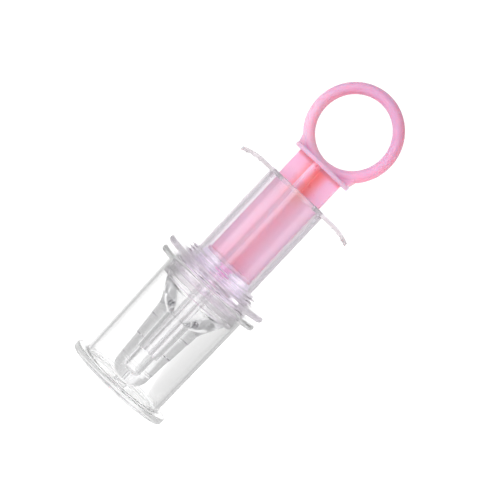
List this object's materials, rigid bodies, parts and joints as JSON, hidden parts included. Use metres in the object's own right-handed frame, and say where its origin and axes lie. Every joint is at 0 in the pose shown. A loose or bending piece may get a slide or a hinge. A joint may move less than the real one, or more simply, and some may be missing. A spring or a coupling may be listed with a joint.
{
  "type": "oral syringe",
  "caption": "Feeding syringe: ring-handled plunger in a clear barrel with finger wings, soft nipple held by a screw collar, pull-off dust cover it stands on.",
  "frame": {"origin": "centre of the dust cover's flat base, which the syringe stands on", "axes": "+Z along the syringe's axis from the dust cover to the finger ring, X along the finger wings, Y across them"},
  "size_m": [0.0476, 0.0418, 0.1327],
  "materials": {
    "clear_cover": "clear polished polypropylene",
    "clear_collar": "clear polished polypropylene",
    "clear_barrel": "clear polished polypropylene",
    "nipple_silicone": "translucent silicone",
    "seal_silicone": "translucent silicone",
    "pink_plastic": "moulded, slightly translucent"
  },
  "bodies": {
    "barrel": {"barrel": "clear_barrel"},
    "piston_seal": {"piston_seal": "seal_silicone"},
    "plunger": {"plunger": "pink_plastic"},
    "nipple": {"nipple": "nipple_silicone"},
    "lock_collar": {"lock_collar": "clear_collar"},
    "dust_cover": {"dust_cover": "clear_cover"}
  },
  "joints": [
    {"name": "plunger_slide", "type": "slide", "parent": "barrel", "child": "piston_seal", "axis": [0, 0, 1], "range_m": [0, 0.033]},
    {"name": "plunger_turn", "type": "hinge", "parent": "piston_seal", "child": "plunger", "pos_m": [0, 0, 0.0525], "axis": [0, 0, 1], "continuous": true},
    {"name": "nipple_slide", "type": "slide", "parent": "barrel", "child": "nipple", "axis": [0, 0, -1], "range_m": [0, 0.0036]},
    {"name": "collar_unscrew", "type": "hinge", "parent": "nipple", "child": "lock_collar", "pos_m": [0, 0, 0.048], "axis": [0, 0, -1], "range_deg": [0, 1080]},
    {"name": "cover_pull", "type": "slide", "parent": "lock_collar", "child": "dust_cover", "axis": [0, 0, -1], "range_m": [0, 0.048]}
  ],
  "couplings": [
    {"joint": "nipple_slide", "follows": "collar_unscrew", "m_per_rad": 0.00019098}
  ]
}
